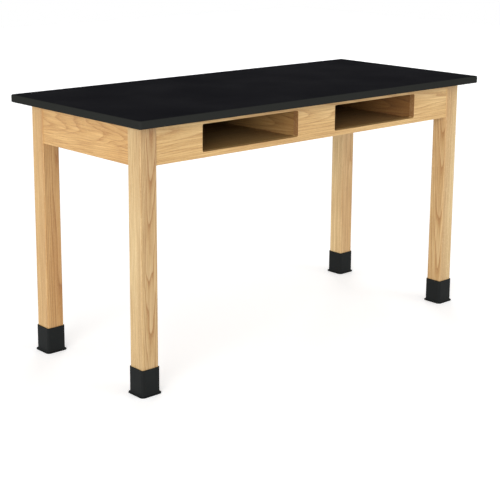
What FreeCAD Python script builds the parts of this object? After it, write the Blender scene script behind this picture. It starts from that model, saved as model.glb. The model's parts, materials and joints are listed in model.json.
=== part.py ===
import FreeCAD, Part
import math
import os

# A four-legged science lab table: a thin black slab on an oak frame, with two book
# compartments behind cut-outs in the front apron. X runs along the table, Y from front
# to back, Z up. The origin is on the floor under the middle of the top. Millimetres.

os.makedirs("parts", exist_ok=True)
Vec = FreeCAD.Vector
UP = Vec(0, 0, 1)

# The table as a whole
table_length = 1371.6
table_depth = 609.6
table_height = 762.0
hole_clearance = 0.2
cut_overrun = 3.0

# The slab
top_thickness = 22.2
top_edge_bevel = 2.2
top_corner_radius = 8.0

# The legs
leg_side = 54.0
leg_edge_radius = 3.2
leg_bottom = 18.0
end_overhang = 38.1
side_overhang = 50.8
leg_flat_reach = 10.0

# The aprons
apron_height = 111.1
apron_thickness = 19.05
apron_setback = 2.4
apron_edge_radius = 1.2

# The cut-outs in the front apron
cutout_end_stile = 158.7
cutout_spacing = 152.4
cutout_height = 76.2
cutout_corner_radius = 5.0
cutout_rail = 15.9

# The book compartments
compartment_back_gap = 72.1
panel_thickness = 12.0
floor_thickness = 9.5
side_reveal = 3.0
floor_reveal = 1.5
cleat_side = 19.0
cleat_end_gap = 30.0

# The steel corner braces and their hanger bolts
brace_thickness = 2.0
brace_height = 76.2
brace_gap = 12.0
flange_length = 28.0
lip_depth = 5.0
kerf_clearance = 0.3
bolt_diameter = 7.94
bolt_length = 76.2
bolt_in_leg = 38.1
bolt_tip_length = 6.0
bolt_point_diameter = 4.0
bolt_spacing = 40.0
washer_diameter = 19.0
washer_thickness = 1.6
nut_across_flats = 12.7
nut_height = 6.7
hex_face_share = 0.95
hex_chamfer_angle = 30

# The steel angle brackets under the slab
bracket_leg = 32.0
bracket_width = 16.0
bracket_thickness = 2.0
bracket_hole_share = 0.62

# The wood screws
screw_diameter = 4.2
screw_head_diameter = 8.0
screw_head_height = 2.4
screw_tip_length = 5.0
screw_point_diameter = 0.5
recess_length = 4.4
recess_width = 1.1
recess_depth = 1.5
screw_in_top = 14.0
screw_in_apron = 13.0
screw_in_panel = 22.0
floor_screw_inset = 45.0
cleat_screw_inset = 25.0

# The levelers
stud_diameter = 7.94
stud_length = 52.0
stud_tip_bevel = 1.0
hex_across_flats = 12.7
hex_height = 6.0
hex_gap = 0.4
ball_diameter = 9.6
ball_height = 4.0
pad_diameter = 32.0
pad_rim_height = 4.0
pad_boss_diameter = 18.0
pad_height = 9.6
pad_floor = 3.0
swivel_clearance = 0.3
insert_diameter = 12.0
insert_length = 20.0
insert_flange_diameter = 22.0
insert_flange_thickness = 1.6
thread_clearance = 0.1
stud_bore_spare = 4.0

# The moulded rubber leg shoes
shoe_height = 76.2
shoe_wall = 2.8
shoe_leg_clearance = 0.4
shoe_corner_radius = 6.4
shoe_flange_reach = 5.0
shoe_flange_height = 3.4
shoe_flange_corner_radius = 12.0
shoe_cove_radius = 4.4
shoe_rim_bevel = 0.6

# Places worked out from the sizes
half_length = table_length / 2
half_depth = table_depth / 2
top_under = table_height - top_thickness
leg_out_x = half_length - end_overhang
leg_out_y = half_depth - side_overhang
leg_in_x = leg_out_x - leg_side
leg_in_y = leg_out_y - leg_side
leg_mid_x = leg_out_x - leg_side / 2
leg_mid_y = leg_out_y - leg_side / 2
apron_bottom = top_under - apron_height
apron_mid_z = top_under - apron_height / 2
apron_face_x = leg_out_x - apron_setback
apron_face_y = leg_out_y - apron_setback
apron_back_x = apron_face_x - apron_thickness
apron_back_y = apron_face_y - apron_thickness
cutout_bottom = apron_bottom + cutout_rail
cutout_width = leg_in_x - cutout_end_stile - cutout_spacing / 2
cutout_mid_x = cutout_spacing / 2 + cutout_width / 2
floor_top = cutout_bottom - floor_reveal
room_half_width = cutout_width / 2 + side_reveal
box_half_width = room_half_width + panel_thickness
box_front_y = -apron_back_y
box_back_y = apron_back_y - compartment_back_gap
room_back_y = box_back_y - panel_thickness

# The four corners: name, side along X, side along Y
corners = [("front_left", -1, -1), ("front_right", 1, -1), ("back_left", -1, 1), ("back_right", 1, 1)]

# The two compartments: name, side along X
sides = [("left", -1), ("right", 1)]

# The brace's plan, for the back right corner: it stands across the corner, its flanges lie
# on the inner faces of the two aprons, and its lips hook into a kerf in each
diagonal = Vec(1, 1, 0).normalize()
leg_corner = Vec(leg_in_x, leg_in_y, 0)
flat_inset = leg_flat_reach / math.sqrt(2)
web_centre = leg_corner - diagonal * (brace_gap + brace_thickness / 2)
web_sum = web_centre.x + web_centre.y
flange_y = apron_back_y - brace_thickness / 2
flange_x = apron_back_x - brace_thickness / 2
kerf_x = web_sum - flange_y - flange_length
kerf_y = web_sum - flange_x - flange_length
brace_bottom = apron_mid_z - brace_height / 2

# The outer angle brackets stand halfway between a compartment's cleat and a brace
bracket_x = (cutout_mid_x + box_half_width + cleat_side + kerf_x) / 2


def block(corner, opposite):
    """A box between two opposite corners, in any order."""
    low = Vec(min(corner.x, opposite.x), min(corner.y, opposite.y), min(corner.z, opposite.z))
    high = Vec(max(corner.x, opposite.x), max(corner.y, opposite.y), max(corner.z, opposite.z))
    return Part.makeBox(high.x - low.x, high.y - low.y, high.z - low.z, low)


def rod(diameter, height, foot, direction=UP):
    """A cylinder that starts at foot and runs along direction."""
    return Part.makeCylinder(diameter / 2, height, foot, direction)


def bolt_hole(start, direction, length):
    """The hole for a hanger bolt, open at start."""
    mouth = start - direction * cut_overrun
    return rod(bolt_diameter + 2 * hole_clearance, length + cut_overrun, mouth, direction)


def fuse_all(shapes):
    """One solid from touching shapes, with no seams left on its flat faces."""
    return shapes[0].multiFuse(shapes[1:]).removeSplitter()


def runs_along(edge, axis):
    """Whether an edge's two ends lie apart mostly along an axis."""
    run = edge.lastVertex().Point - edge.firstVertex().Point
    return abs(run.dot(axis)) > run.Length / 2


def edges_along(shape, axis):
    """The edges of a shape that run along an axis."""
    return [edge for edge in shape.Edges if runs_along(edge, axis)]


def rounded_post(side, height, radius, foot_z):
    """A square post with round upright edges, centred on the Z axis."""
    half = side / 2
    post = block(Vec(-half, -half, foot_z), Vec(half, half, foot_z + height))
    return post.makeFillet(radius, edges_along(post, UP))


def at_corner(shape, side_x, side_y):
    """A piece made for the back right corner, mirrored to the corner named."""
    if side_x < 0:
        shape = shape.mirror(Vec(0, 0, 0), Vec(1, 0, 0))
    if side_y < 0:
        shape = shape.mirror(Vec(0, 0, 0), Vec(0, 1, 0))
    return shape


def save(name, shape):
    """Writes one node, after a look at whether its solids are sound."""
    if not shape.isValid():
        print("not valid:", name)
    shape.exportStep("parts/" + name + ".step")
    print(name, "solids", len(shape.Solids), "volume", round(shape.Volume, 1))


# Screws

def screw(seat, direction, length):
    """A pan-head wood screw with a cross recess, whose head sits on the point seat. It is made
    pointing up, then turned to its direction."""
    shank_length = length - screw_tip_length
    head = rod(screw_head_diameter, screw_head_height, UP * -screw_head_height)
    rim = [edge for edge in head.Edges if edge.Closed and edge.CenterOfMass.z < -screw_head_height / 2]
    head = head.makeFillet(screw_head_height / 2, rim)
    shank = rod(screw_diameter, shank_length, Vec(0, 0, 0))
    tip = Part.makeCone(screw_diameter / 2, screw_point_diameter / 2, screw_tip_length, UP * shank_length)
    half_long = recess_length / 2
    half_wide = recess_width / 2
    low_z = -screw_head_height - cut_overrun
    high_z = recess_depth - screw_head_height
    slots = [block(Vec(-half_long, -half_wide, low_z), Vec(half_long, half_wide, high_z)),
             block(Vec(-half_wide, -half_long, low_z), Vec(half_wide, half_long, high_z))]
    piece = fuse_all([head, shank, tip]).cut(slots)
    piece.Placement = FreeCAD.Placement(seat, FreeCAD.Rotation(UP, direction))
    return piece


def screw_hole(seat, direction, length):
    """The pilot hole for that screw, a little wider and deeper, open at the seat."""
    start = seat - direction * cut_overrun
    return rod(screw_diameter + 2 * hole_clearance, length + cut_overrun + hole_clearance, start, direction)


def bracket_places():
    """Where each angle bracket stands: a point on its apron's inner face, and its way in."""
    places = []
    for side_y in (-1, 1):
        for x in (-bracket_x, 0, bracket_x):
            places.append((Vec(x, side_y * apron_back_y, top_under), Vec(0, -side_y, 0)))
    for side_x in (-1, 1):
        places.append((Vec(side_x * apron_back_x, 0, top_under), Vec(-side_x, 0, 0)))
    return places


def bracket_apron_seat(place, inward):
    """Where the screw through the bracket's upright leg has its head."""
    return place + inward * bracket_thickness - UP * (bracket_leg * bracket_hole_share)


def bracket_top_seat(place, inward):
    """Where the screw through the bracket's flat leg has its head."""
    return place + inward * (bracket_leg * bracket_hole_share) - UP * bracket_thickness


def cleat_centres():
    """The centre line of each cleat along X, two for each compartment."""
    lines = []
    for name, side in sides:
        for wall_side, wall in ((-1, "left"), (1, "right")):
            x = side * cutout_mid_x + wall_side * (box_half_width + cleat_side / 2)
            lines.append((name + "_compartment_" + wall + "_cleat", x))
    return lines


def cleat_screw_seats():
    """Three screws up through each cleat into the slab."""
    first = box_front_y + cleat_end_gap + cleat_screw_inset
    last = box_back_y - cleat_end_gap - cleat_screw_inset
    seats = []
    for name, x in cleat_centres():
        for y in (first, (first + last) / 2, last):
            seats.append(Vec(x, y, top_under - cleat_side))
    return seats


def floor_screw_seats(side):
    """Screws up through a compartment's floor: three into each wall, two into the back."""
    z = floor_top - floor_thickness
    mid_x = side * cutout_mid_x
    wall_x = box_half_width - panel_thickness / 2
    first = box_front_y + floor_screw_inset
    last = room_back_y - floor_screw_inset
    seats = []
    for wall_side in (-1, 1):
        for y in (first, (first + last) / 2, last):
            seats.append(Vec(mid_x + wall_side * wall_x, y, z))
        back_x = wall_side * (wall_x - floor_screw_inset)
        seats.append(Vec(mid_x + back_x, room_back_y + panel_thickness / 2, z))
    return seats


def brace_path():
    """The middle line of the bent strip, seen from above."""
    return [Vec(kerf_x, apron_back_y + lip_depth, 0),
            Vec(kerf_x, flange_y, 0),
            Vec(web_sum - flange_y, flange_y, 0),
            Vec(flange_x, web_sum - flange_x, 0),
            Vec(flange_x, kerf_y, 0),
            Vec(apron_back_x + lip_depth, kerf_y, 0)]


def beside(path, distance):
    """The path moved sideways by a distance, with mitred corners."""
    moved = []
    for index, point in enumerate(path):
        before = (point - path[index - 1]).normalize() if index > 0 else None
        after = (path[index + 1] - point).normalize() if index < len(path) - 1 else None
        before = before or after
        after = after or before
        normal_before = Vec(-before.y, before.x, 0)
        normal_after = Vec(-after.y, after.x, 0)
        middle = (normal_before + normal_after).normalize()
        moved.append(point + middle * (distance / middle.dot(normal_before)))
    return moved


def brace_screw_places():
    """The two screws through each flange: a point on the flange's inner side, and a way in."""
    places = []
    along = flange_length / 2
    for z in (apron_mid_z - bolt_spacing / 2, apron_mid_z + bolt_spacing / 2):
        places.append((Vec(kerf_x + along, apron_back_y - brace_thickness, z), Vec(0, 1, 0)))
        places.append((Vec(apron_back_x - brace_thickness, kerf_y + along, z), Vec(1, 0, 0)))
    return places


def bolt_heights():
    """The heights of the two hanger bolts at a corner."""
    return (apron_mid_z - bolt_spacing / 2, apron_mid_z + bolt_spacing / 2)


def on_diagonal(distance, z):
    """A point on the corner's diagonal: a distance from the leg's inner corner, into the room."""
    return leg_corner - diagonal * distance + UP * z


# The slab

def make_worktop():
    """The black slab, with a bevel all round and pilot holes in its underside."""
    slab = block(Vec(-half_length, -half_depth, top_under), Vec(half_length, half_depth, table_height))
    slab = slab.makeFillet(top_corner_radius, edges_along(slab, UP))
    rims = [edge for edge in slab.Edges if not runs_along(edge, UP)]
    slab = slab.makeChamfer(top_edge_bevel, rims)
    holes = []
    for place, inward in bracket_places():
        seat = bracket_top_seat(place, inward)
        holes.append(screw_hole(seat, UP, screw_in_top + bracket_thickness))
    for seat in cleat_screw_seats():
        holes.append(screw_hole(seat, UP, cleat_side + screw_in_top))
    return slab.cut(holes)


# The legs

def make_leg():
    """The back right leg: a square post with eased edges, a flat across its inner corner for
    the brace, two bores for the hanger bolts and a bore for the leveler in its foot."""
    post = rounded_post(leg_side, top_under - leg_bottom, leg_edge_radius, leg_bottom)
    post.translate(Vec(leg_mid_x, leg_mid_y, 0))
    reach = leg_flat_reach
    low = Vec(leg_in_x, leg_in_y, apron_bottom)
    outline = [low + Vec(-reach, -reach, 0), low + Vec(2 * reach, -reach, 0), low + Vec(-reach, 2 * reach, 0)]
    corner = Part.Face(Part.makePolygon(outline + outline[:1])).extrude(UP * (apron_height + cut_overrun))
    cuts = [corner]
    for z in bolt_heights():
        cuts.append(bolt_hole(on_diagonal(-flat_inset, z), diagonal, bolt_in_leg + hole_clearance))
    foot = Vec(leg_mid_x, leg_mid_y, leg_bottom - cut_overrun)
    cuts.append(rod(insert_diameter + 2 * hole_clearance, insert_length + cut_overrun + hole_clearance, foot))
    bore_depth = stud_length - (leg_bottom - stud_foot_z) + stud_bore_spare
    cuts.append(rod(stud_diameter + 2 * hole_clearance, bore_depth + cut_overrun, foot))
    return post.cut(cuts)


# The aprons

def round_lower_edges(board, axis):
    """Eases the two long lower edges of a board that runs along an axis."""
    lower = [edge for edge in edges_along(board, axis) if edge.CenterOfMass.z < apron_mid_z]
    return board.makeFillet(apron_edge_radius, lower)


def kerf(centre, across, inward):
    """The slot for a brace's lip: across the board's face, sunk along inward."""
    half = brace_thickness / 2 + kerf_clearance
    tall = UP * (brace_height / 2 + kerf_clearance)
    low = centre - across * half - inward * cut_overrun - tall
    high = centre + across * half + inward * (lip_depth + kerf_clearance) + tall
    return block(low, high)


def apron_cuts(side_x, side_y, along_x):
    """The kerf and screw holes that one corner's brace needs in one of its two aprons."""
    cuts = []
    if along_x:
        cuts.append(kerf(Vec(kerf_x, apron_back_y, apron_mid_z), Vec(1, 0, 0), Vec(0, 1, 0)))
    else:
        cuts.append(kerf(Vec(apron_back_x, kerf_y, apron_mid_z), Vec(0, 1, 0), Vec(1, 0, 0)))
    for seat, inward in brace_screw_places():
        if (inward.y > 0) == along_x:
            cuts.append(screw_hole(seat, inward, brace_thickness + screw_in_apron))
    return [at_corner(cut, side_x, side_y) for cut in cuts]


def bracket_holes(facing):
    """The pilot holes for the angle brackets that stand on the apron facing that way."""
    holes = []
    for place, inward in bracket_places():
        if inward == facing:
            seat = bracket_apron_seat(place, inward)
            holes.append(screw_hole(seat, inward * -1, bracket_thickness + screw_in_apron))
    return holes


def make_long_apron(side_y):
    """The front or back apron, a board between the legs."""
    low = Vec(-leg_in_x, side_y * apron_back_y, apron_bottom)
    board = block(low, Vec(leg_in_x, side_y * apron_face_y, top_under))
    board = round_lower_edges(board, Vec(1, 0, 0))
    cuts = apron_cuts(-1, side_y, True) + apron_cuts(1, side_y, True) + bracket_holes(Vec(0, -side_y, 0))
    return board.cut(cuts)


def make_cutout(side):
    """One book opening: a rectangle with small round corners, right through the board."""
    low = Vec(-cutout_width / 2, -apron_face_y - cut_overrun, cutout_bottom)
    high = Vec(cutout_width / 2, -apron_back_y + cut_overrun, cutout_bottom + cutout_height)
    hole = block(low, high)
    hole = hole.makeFillet(cutout_corner_radius, edges_along(hole, Vec(0, 1, 0)))
    hole.translate(Vec(side * cutout_mid_x, 0, 0))
    return hole


def make_front_apron():
    """The front apron, one board with the two book openings routed through it, their rims
    eased on the outer face."""
    board = make_long_apron(-1).cut([make_cutout(side) for name, side in sides])
    rims = []
    for edge in board.Edges:
        box = edge.BoundBox
        on_face = box.YMax < -apron_face_y + apron_edge_radius / 2
        above_rail = box.ZMin > apron_bottom + cutout_rail / 2
        below_top = box.ZMax < top_under - apron_edge_radius / 2
        if on_face and above_rail and below_top:
            rims.append(edge)
    return board.makeFillet(apron_edge_radius, rims)


def make_side_apron(side_x):
    """The left or right apron, a shorter board between the legs."""
    low = Vec(side_x * apron_back_x, -leg_in_y, apron_bottom)
    board = block(low, Vec(side_x * apron_face_x, leg_in_y, top_under))
    board = round_lower_edges(board, Vec(0, 1, 0))
    cuts = apron_cuts(side_x, -1, False) + apron_cuts(side_x, 1, False) + bracket_holes(Vec(-side_x, 0, 0))
    return board.cut(cuts)


# The corner braces and what holds them

def make_brace():
    """The back right corner brace: a bent steel strip with holes for two bolts and four screws."""
    path = brace_path()
    outline = beside(path, brace_thickness / 2) + beside(path, -brace_thickness / 2)[::-1]
    outline = [point + UP * brace_bottom for point in outline]
    strip = Part.Face(Part.makePolygon(outline + outline[:1])).extrude(UP * brace_height)
    cuts = []
    for z in bolt_heights():
        cuts.append(bolt_hole(on_diagonal(brace_gap, z), diagonal * -1, 2 * brace_thickness))
    for seat, inward in brace_screw_places():
        cuts.append(screw_hole(seat, inward, brace_thickness))
    return strip.cut(cuts)


def make_bolt(z):
    """A hanger bolt: its pointed end is in the leg, and its other end takes a washer and nut."""
    flat = on_diagonal(-flat_inset, z)
    free_end = flat + diagonal * (bolt_in_leg - bolt_length)
    shank = rod(bolt_diameter, bolt_length - bolt_tip_length, free_end, diagonal)
    tip_start = flat + diagonal * (bolt_in_leg - bolt_tip_length)
    tip = Part.makeCone(bolt_diameter / 2, bolt_point_diameter / 2, bolt_tip_length, tip_start, diagonal)
    return fuse_all([shank, tip])


def make_washer(z):
    """A flat washer on the brace's inner side."""
    seat = on_diagonal(brace_gap + brace_thickness, z)
    disc = rod(washer_diameter, washer_thickness, seat, diagonal * -1)
    return disc.cut(bolt_hole(seat, diagonal * -1, 2 * washer_thickness))


def hexagon(across_flats, height, foot, direction, across):
    """A hexagonal prism from foot along direction, with a corner towards across. The corners
    are turned off at both ends, down to a circle a little smaller than the flats."""
    radius = across_flats / math.sqrt(3)
    sideways = direction.cross(across)
    points = []
    for turn in range(7):
        angle = math.radians(60 * turn)
        points.append(foot + across * (radius * math.cos(angle)) + sideways * (radius * math.sin(angle)))
    prism = Part.Face(Part.makePolygon(points)).extrude(direction * height)
    face_radius = hex_face_share * across_flats / 2
    wide_radius = face_radius + height / math.tan(math.radians(hex_chamfer_angle))
    cones = [Part.makeCone(wide_radius, face_radius, height, foot, direction),
             Part.makeCone(face_radius, wide_radius, height, foot, direction)]
    return prism.common(cones[0]).common(cones[1])


def make_nut(z):
    """A hexagon nut on the washer."""
    seat = on_diagonal(brace_gap + brace_thickness + washer_thickness, z)
    body = hexagon(nut_across_flats, nut_height, seat, diagonal * -1, UP)
    return body.cut(bolt_hole(seat, diagonal * -1, 2 * nut_height))


def make_brace_screws():
    """The four wood screws of the back right brace."""
    return [screw(seat, inward, brace_thickness + screw_in_apron) for seat, inward in brace_screw_places()]


# The angle brackets under the slab

def make_bracket(place, inward):
    """An angle bracket: one leg on the apron, the other under the slab."""
    across = UP.cross(inward)
    wide = across * (bracket_width / 2)
    thick = bracket_thickness
    ends = [(place - wide - UP * bracket_leg, place + wide + inward * thick),
            (place - wide - UP * thick, place + wide + inward * bracket_leg)]
    bracket = fuse_all([block(first, second) for first, second in ends])
    apron_hole = screw_hole(bracket_apron_seat(place, inward), inward * -1, thick)
    top_hole = screw_hole(bracket_top_seat(place, inward), UP, thick)
    return bracket.cut([apron_hole, top_hole])


# The book compartments

def make_compartment_wall(side, wall_side):
    """A side wall of a compartment, from its floor up to the slab."""
    inner = side * cutout_mid_x + wall_side * room_half_width
    outer = inner + wall_side * panel_thickness
    wall = block(Vec(inner, box_front_y, floor_top), Vec(outer, box_back_y, top_under))
    holes = [screw_hole(seat, UP, floor_thickness + screw_in_panel) for seat in floor_screw_seats(side)]
    return wall.cut(holes)


def make_compartment_back(side):
    """The back wall of a compartment, between its side walls."""
    mid = side * cutout_mid_x
    low = Vec(mid - room_half_width, room_back_y, floor_top)
    wall = block(low, Vec(mid + room_half_width, box_back_y, top_under))
    holes = [screw_hole(seat, UP, floor_thickness + screw_in_panel) for seat in floor_screw_seats(side)]
    return wall.cut(holes)


def make_compartment_floor(side):
    """The floor of a compartment, screwed up into its walls."""
    mid = side * cutout_mid_x
    low = Vec(mid - box_half_width, box_front_y, floor_top - floor_thickness)
    panel = block(low, Vec(mid + box_half_width, box_back_y, floor_top))
    holes = [screw_hole(seat, UP, floor_thickness) for seat in floor_screw_seats(side)]
    return panel.cut(holes)


def make_cleat(x):
    """A square strip glued along a wall's outer side, screwed up into the slab."""
    low = Vec(x - cleat_side / 2, box_front_y + cleat_end_gap, top_under - cleat_side)
    high = Vec(x + cleat_side / 2, box_back_y - cleat_end_gap, top_under)
    holes = [screw_hole(seat, UP, cleat_side) for seat in cleat_screw_seats()]
    return block(low, high).cut(holes)


# The levelers: the pad stands on the floor, the stud swivels in it and screws into the leg

stud_hex_z = leg_bottom - insert_flange_thickness - hex_gap - hex_height
stud_foot_z = pad_floor + swivel_clearance
stud_neck_diameter = stud_diameter - 2 * hole_clearance


def leveler_axis(z):
    """A point on the back right leg's middle line."""
    return Vec(leg_mid_x, leg_mid_y, z)


def make_insert():
    """The threaded steel insert in the leg's foot, with a flange under the leg."""
    flange_z = leg_bottom - insert_flange_thickness
    flange = rod(insert_flange_diameter, insert_flange_thickness, leveler_axis(flange_z))
    barrel = rod(insert_diameter, insert_length, leveler_axis(leg_bottom))
    bore_length = insert_length + insert_flange_thickness + 2 * cut_overrun
    bore = rod(stud_diameter + 2 * thread_clearance, bore_length, leveler_axis(flange_z - cut_overrun))
    return fuse_all([flange, barrel]).cut(bore)


def make_stud():
    """The leveler's stud: a swivel foot, a neck, a hexagon for the spanner and the thread."""
    foot = rod(ball_diameter, ball_height, leveler_axis(stud_foot_z))
    neck = rod(stud_neck_diameter, stud_hex_z - stud_foot_z, leveler_axis(stud_foot_z))
    grip = hexagon(hex_across_flats, hex_height, leveler_axis(stud_hex_z), UP, Vec(1, 0, 0))
    thread = rod(stud_diameter, stud_length - (stud_hex_z - stud_foot_z), leveler_axis(stud_hex_z))
    tip = [edge for edge in thread.Edges if edge.Closed and edge.CenterOfMass.z > leg_bottom]
    thread = thread.makeChamfer(stud_tip_bevel, tip)
    return fuse_all([foot, neck, grip, thread])


def make_pad():
    """The leveler's round pad, with a socket that holds the stud's foot."""
    rim = rod(pad_diameter, pad_rim_height, leveler_axis(0))
    boss = rod(pad_boss_diameter, pad_height, leveler_axis(0))
    pad = fuse_all([rim, boss])
    socket_height = ball_height + 2 * swivel_clearance
    socket = rod(ball_diameter + 2 * swivel_clearance, socket_height, leveler_axis(pad_floor))
    throat = rod(stud_neck_diameter + 2 * swivel_clearance, pad_height, leveler_axis(pad_floor))
    return pad.cut([socket, throat])


# The leg shoes

def make_shoe():
    """A rubber sleeve round the foot of the leg, with a coved flange on the floor."""
    inner_side = leg_side + 2 * shoe_leg_clearance
    outer_side = inner_side + 2 * shoe_wall
    flange_side = outer_side + 2 * shoe_flange_reach
    sleeve = rounded_post(outer_side, shoe_height, shoe_corner_radius, 0)
    flange = rounded_post(flange_side, shoe_flange_height, shoe_flange_corner_radius, 0)
    shoe = fuse_all([sleeve, flange])
    cove = []
    for edge in shoe.Edges:
        box = edge.BoundBox
        reach = max(abs(box.XMin), abs(box.XMax), abs(box.YMin), abs(box.YMax))
        low = shoe_flange_height / 2 < box.ZMin and box.ZMax < shoe_height / 2
        if low and reach < (outer_side + flange_side) / 4:
            cove.append(edge)
    shoe = shoe.makeFillet(shoe_cove_radius, cove)
    rim = [edge for edge in shoe.Edges if edge.BoundBox.ZMin > shoe_height / 2]
    shoe = shoe.makeChamfer(shoe_rim_bevel, rim)
    bore_radius = leg_edge_radius + shoe_leg_clearance
    bore = rounded_post(inner_side, shoe_height + 2 * cut_overrun, bore_radius, -cut_overrun)
    shoe = shoe.cut(bore)
    shoe.translate(leveler_axis(0))
    return shoe


# Everything is made and written, one node after the other

save("worktop", make_worktop())
save("front_apron", make_front_apron())
save("back_apron", make_long_apron(1))
save("left_apron", make_side_apron(-1))
save("right_apron", make_side_apron(1))

corner_pieces = {"leg": make_leg(),
                 "corner_brace": make_brace(),
                 "leveler_insert": make_insert(),
                 "leveler_stud": make_stud(),
                 "leveler_pad": make_pad(),
                 "shoe": make_shoe()}
for corner, side_x, side_y in corners:
    for piece, shape in corner_pieces.items():
        save(corner + "_" + piece, at_corner(shape, side_x, side_y))

bolts = []
washers = []
nuts = []
brace_screws = []
for corner, side_x, side_y in corners:
    for z in bolt_heights():
        bolts.append(at_corner(make_bolt(z), side_x, side_y))
        washers.append(at_corner(make_washer(z), side_x, side_y))
        nuts.append(at_corner(make_nut(z), side_x, side_y))
    for one in make_brace_screws():
        brace_screws.append(at_corner(one, side_x, side_y))
save("leg_hanger_bolts", Part.makeCompound(bolts))
save("leg_bolt_washers", Part.makeCompound(washers))
save("leg_bolt_nuts", Part.makeCompound(nuts))
save("corner_brace_screws", Part.makeCompound(brace_screws))

brackets = []
bracket_apron_screws = []
bracket_top_screws = []
for place, inward in bracket_places():
    brackets.append(make_bracket(place, inward))
    apron_seat = bracket_apron_seat(place, inward)
    bracket_apron_screws.append(screw(apron_seat, inward * -1, bracket_thickness + screw_in_apron))
    top_seat = bracket_top_seat(place, inward)
    bracket_top_screws.append(screw(top_seat, UP, bracket_thickness + screw_in_top))
save("top_brackets", Part.makeCompound(brackets))
save("bracket_apron_screws", Part.makeCompound(bracket_apron_screws))
save("bracket_top_screws", Part.makeCompound(bracket_top_screws))

for name, side in sides:
    save(name + "_compartment_left_wall", make_compartment_wall(side, -1))
    save(name + "_compartment_right_wall", make_compartment_wall(side, 1))
    save(name + "_compartment_back_wall", make_compartment_back(side))
    save(name + "_compartment_floor", make_compartment_floor(side))
    floor_screws = [screw(seat, UP, floor_thickness + screw_in_panel) for seat in floor_screw_seats(side)]
    save(name + "_compartment_floor_screws", Part.makeCompound(floor_screws))

for name, x in cleat_centres():
    save(name, make_cleat(x))
cleat_screws = [screw(seat, UP, cleat_side + screw_in_top) for seat in cleat_screw_seats()]
save("cleat_screws", Part.makeCompound(cleat_screws))
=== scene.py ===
# A science lab table: a thin black resin slab on a lacquered oak frame with two book
# compartments, steel corner braces, levelers, and moulded rubber shoes on the legs.
import json
import math

import bpy
import numpy as np
from mathutils import Matrix, Vector


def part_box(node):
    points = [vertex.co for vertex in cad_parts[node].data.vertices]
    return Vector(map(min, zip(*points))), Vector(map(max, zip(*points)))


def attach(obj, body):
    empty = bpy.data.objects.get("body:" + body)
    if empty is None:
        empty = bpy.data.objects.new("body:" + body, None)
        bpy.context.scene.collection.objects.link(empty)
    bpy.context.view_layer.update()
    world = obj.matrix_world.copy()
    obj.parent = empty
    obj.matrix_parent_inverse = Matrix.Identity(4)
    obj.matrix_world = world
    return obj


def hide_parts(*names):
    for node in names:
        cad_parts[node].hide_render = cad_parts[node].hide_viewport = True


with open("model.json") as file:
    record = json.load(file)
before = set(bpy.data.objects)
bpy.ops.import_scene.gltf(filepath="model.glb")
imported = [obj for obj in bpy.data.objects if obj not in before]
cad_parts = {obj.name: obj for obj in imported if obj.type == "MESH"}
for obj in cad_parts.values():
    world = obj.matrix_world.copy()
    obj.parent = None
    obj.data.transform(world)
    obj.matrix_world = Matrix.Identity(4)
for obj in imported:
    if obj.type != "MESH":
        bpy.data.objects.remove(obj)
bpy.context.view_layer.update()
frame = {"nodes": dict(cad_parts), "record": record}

mm = 0.001
degree = math.pi / 180
cornerNames = ["front_left", "front_right", "back_left", "back_right"]
colourA, colourB, colourOut = 6, 7, 2   # a Mix node's sockets for colours
print("frame loaded:", len(frame["nodes"]), "CAD nodes")


def toLinear(hexColour):
    # Each sRGB channel c, from 0 to 1, becomes ((c + 0.055) / 1.055) ** 2.4, or c / 12.92 if dark
    c = np.array([int(hexColour[i:i + 2], 16) for i in (1, 3, 5)]) / 255
    linear = np.where(c > 0.04045, ((c + 0.055) / 1.055) ** 2.4, c / 12.92)
    return (*linear.tolist(), 1.0)


def addNode(tree, kind, settings=None, links=None):
    # A setting goes to the input socket of that name or number, or else to the node itself;
    # "stops" are the places and hex colours of a colour ramp
    node = tree.nodes.new(kind)
    for key, value in (settings or {}).items():
        if key == "stops":
            elements = node.color_ramp.elements
            while len(elements) < len(value):
                elements.new(1.0)
            for element, (place, hexColour) in zip(elements, value):
                element.position = place
                element.color = toLinear(hexColour)
        elif isinstance(key, int) or key in node.inputs:
            node.inputs[key].default_value = value
        else:
            setattr(node, key, value)
    for key, source in (links or {}).items():
        tree.links.new(source, node.inputs[key])
    return node


def makeMaterial(name, build, look):
    # build adds the pattern's nodes on the piece's own coordinates, in metres, and gives the
    # shader's settings, which are the same all over, and its links
    material = bpy.data.materials.new(name)
    material.use_nodes = True
    tree = material.node_tree
    tree.nodes.clear()
    coords = addNode(tree, "ShaderNodeTexCoord").outputs["Object"]
    settings, links = build(tree, coords, look)
    shader = addNode(tree, "ShaderNodeBsdfPrincipled", settings, links)
    addNode(tree, "ShaderNodeOutputMaterial", {}, {"Surface": shader.outputs["BSDF"]})
    return material


# Camera: its place, its heading from +Y towards +X, how far it looks down, and a slight roll
cameraLook = {
    "place": (-2.543, -2.749, 1.284), "heading": 42.40, "down": 12.12, "roll": 0.41,
    "lens": 89.1, "shiftY": -0.15,
}
camera = bpy.data.objects.new("camera", bpy.data.cameras.new("camera"))
bpy.context.scene.collection.objects.link(camera)
bpy.context.scene.camera = camera
turn = Matrix.Rotation(-cameraLook["heading"] * degree, 3, "Z")
turn = turn @ Matrix.Rotation((90 - cameraLook["down"]) * degree, 3, "X")
turn = turn @ Matrix.Rotation(cameraLook["roll"] * degree, 3, "Z")
camera.location = cameraLook["place"]
camera.rotation_euler = turn.to_euler()
camera.data.lens = cameraLook["lens"]
camera.data.shift_y = cameraLook["shiftY"]
bpy.context.scene.view_settings.view_transform = "Standard"

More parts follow.
